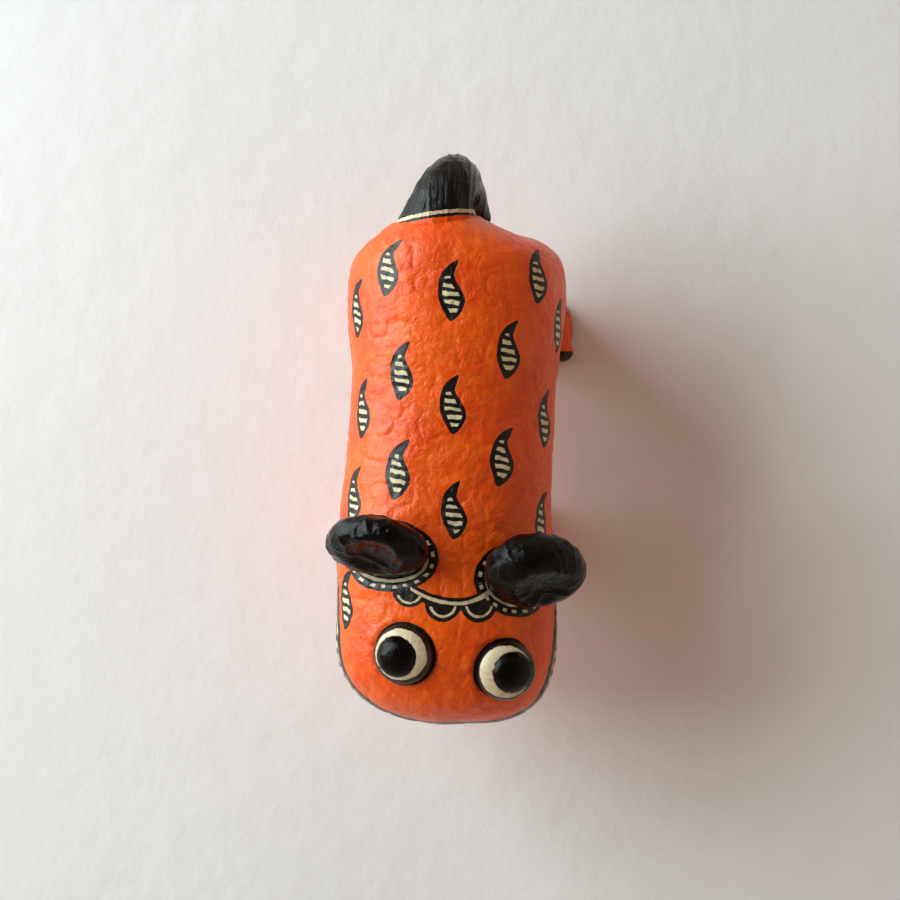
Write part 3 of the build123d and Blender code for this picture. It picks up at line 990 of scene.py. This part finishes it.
def tail_material():
    """Black tail with a cream line at its root, over the orange of the body."""
    material, tree, shader = new_material("painted_tail")
    edge, _, _ = parts_of(tree, "edge")
    edge = wobble(tree, edge, 0.45)
    black = maths(tree, "SUBTRACT", 1.0, inside(tree, maths(tree, "SUBTRACT", edge, TAIL_BLACK_START)))
    line = band(tree, edge, *TAIL_LINE)
    worn = ramp(tree, noise_value(tree, 380, 3.0, 0.6), 0.62, 0.68)
    line = maths(tree, "MULTIPLY", line, maths(tree, "SUBTRACT", 1.0, worn))
    colour = blend_colour(tree, black, orange_colour(tree), black_colour(tree))
    colour = blend_colour(tree, line, colour, cream_colour(tree))
    tree.links.new(colour, shader.inputs["Base Color"])
    streak = place(tree, "ShaderNodeAttribute", attribute_name="streak").outputs["Vector"]
    inputs = {"Vector": streak, "Scale": 0.55, "Detail": 5.0, "Roughness": 0.6, "Distortion": 0.5}
    streaks = place(tree, "ShaderNodeTexNoise", inputs).outputs[0]
    tree.links.new(maths(tree, "MULTIPLY_ADD", streaks, 0.3, 0.11), shader.inputs["Roughness"])
    tree.links.new(paper_bump(tree, maths(tree, "MULTIPLY", streaks, 1.1), 0.7), shader.inputs["Normal"])
    varnish(shader, 0.22, 0.06, 0.2)
    return material


def make_tail(body_tree):
    """Tail with lengthwise folds of paper."""
    mesh = remade("tail", "tail")
    sink_root(mesh, body_tree, ROOT_SINK)
    press(mesh, "tail")
    points = coords(mesh)
    edge, streak = tail_fields(points)
    folds = creases(streak, FOLD_SIZE, 5.5, power=2)
    points += vertex_normals(mesh) * (folds * FOLD_HEIGHT)[:, None]
    mesh.vertices.foreach_set("co", points.astype(np.float32).ravel())
    mesh.update()
    store(mesh, "edge", np.column_stack((edge, np.zeros((len(edge), 2)))))
    store(mesh, "streak", streak / MM)
    link_mesh("tail_skin", mesh, tail_material(), "black_paint", "tail")


EYE_STEEP = 0.25  # the mound stays black where it faces up less than this
# Cream disc of each eye: radius in mm and its shift from the middle of the mound in mm
EYE_DISCS = {"left": (9.0, (-0.15, -0.1)), "right": (8.8, (-0.8, 0.4))}


def make_eyes(body_tree):
    """Eye mounds with a cream disc, and glossy black pupils."""
    material = painted_eye_material()
    pupil_material = black_material("pupil_black")
    for side, (radius, shift) in EYE_DISCS.items():
        mesh = remade(f"eye_{side}", "eye")
        sink_root(mesh, body_tree, EYE_SINK)
        press(mesh, "eye")
        low, high = (np.array(corner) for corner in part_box(f"eye_{side}"))
        middle = (low + high)[:2] / 2 + np.array(shift) * MM
        offset = (coords(mesh)[:, :2] - middle) / MM
        spread = np.linalg.norm(offset, axis=1)
        spread = np.where(vertex_normals(mesh)[:, 2] < EYE_STEEP, FAR, spread)
        edge = np.full(len(spread), radius)
        store(mesh, "eye", np.column_stack((spread, edge, np.zeros(len(spread)))))
        link_mesh(f"eye_{side}_skin", mesh, material, "cream_paint", f"eye_{side}")
        pupil = remade(f"pupil_{side}", "pupil")
        press(pupil, "pupil")
        link_mesh(f"pupil_{side}_skin", pupil, pupil_material, "black_paint", f"pupil_{side}")


def painted_eye_material():
    """Black rim and cream disc under varnish."""
    material, tree, shader = new_material("painted_eye")
    radius, edge, _ = parts_of(tree, "eye")
    off_disc = wobble(tree, maths(tree, "SUBTRACT", radius, edge), 0.5)
    colour = blend_colour(tree, inside(tree, off_disc), black_colour(tree), cream_colour(tree))
    tree.links.new(colour, shader.inputs["Base Color"])
    shader.inputs["Roughness"].default_value = 0.36
    tree.links.new(paper_bump(tree, strength=0.5), shader.inputs["Normal"])
    varnish(shader, 0.42, 0.2, 0.2)
    return material


BOTTOM_BLACK_HEIGHT = 1.9  # mm of black above the ground
TOE_REACH = 11.4  # mm in front of the ankle where the black of the toes begins


def paw_paint(tree):
    """Black mask of a paw, for a black band along its bottom next to the ground and for its toe tips, and a
    cream mask that is empty.
    """
    height, reach, _ = parts_of(tree, "paw")
    height = wobble(tree, height, 0.4)
    toe_line = wobble(tree, maths(tree, "SUBTRACT", TOE_REACH, reach), 0.4)
    # Black band along the lowest part of the paw, next to the ground
    bottom_band = inside(tree, maths(tree, "SUBTRACT", height, BOTTOM_BLACK_HEIGHT))
    black = maths(tree, "MAXIMUM", bottom_band, inside(tree, toe_line))
    return black, inside(tree, maths(tree, "ADD", toe_line, FAR))


def make_legs_and_paws(body_tree):
    """Orange legs, and paws that are black along the bottom next to the ground and at the toe tips."""
    leg_paint_material = painted_material("painted_leg", (), orange_colour)
    paw_material = painted_material("painted_paw", (paw_paint,), orange_colour)
    for leg in LEG_NAMES:
        paw_tree, leg_tree = node_tree_of(f"paw_{leg}"), node_tree_of(f"leg_{leg}")
        mesh = remade(f"leg_{leg}", "leg")
        sink_root(mesh, body_tree, ROOT_SINK)
        swell_towards(mesh, body_tree, *BODY_SWELL)
        swell_towards(mesh, paw_tree, *ANKLE_SWELL)
        press(mesh, "leg", keep_floor=True)
        link_mesh(f"leg_{leg}_skin", mesh, leg_paint_material, "orange_paint", f"leg_{leg}")
        mesh = remade(f"paw_{leg}", "paw")
        swell_towards(mesh, leg_tree, *ANKLE_SWELL)
        press(mesh, "paw", keep_floor=True)
        low, high = (np.array(corner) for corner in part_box(f"paw_{leg}"))
        points = coords(mesh)
        ankle_y = high[1] - (high[0] - low[0]) / 2
        reach = (ankle_y - points[:, 1]) / MM
        store(mesh, "paw", np.column_stack((points[:, 2] / MM, reach, np.zeros(len(points)))))
        link_mesh(f"paw_{leg}_skin", mesh, paw_material, "orange_paint", f"paw_{leg}")


def dress_inner_pieces():
    """Finishes of the wires and reeds inside the figure."""
    steel = wire_material("armature_steel", (0.33, 0.31, 0.28, 1), (0.16, 0.12, 0.09, 1))
    tie = wire_material("tie_steel", (0.24, 0.21, 0.18, 1), (0.12, 0.08, 0.05, 1))
    reed = reed_material("split_reed")
    finishes = {
        "spine_wire": steel,
        "front_leg_wire": steel,
        "hind_leg_wire": steel,
        "front_tie_wire": tie,
        "hind_tie_wire": tie,
        "ear_peg_left": reed,
        "ear_peg_right": reed,
    }
    for node, material in finishes.items():
        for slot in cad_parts[node].material_slots:
            slot.material = material


make_camera()
make_lights()
make_floor()
body_search_tree = node_tree_of(*BODY_NODES)
make_body(body_search_tree)
make_ears(body_search_tree)
make_tail(body_search_tree)
make_eyes(body_search_tree)
make_legs_and_paws(body_search_tree)
dress_inner_pieces()
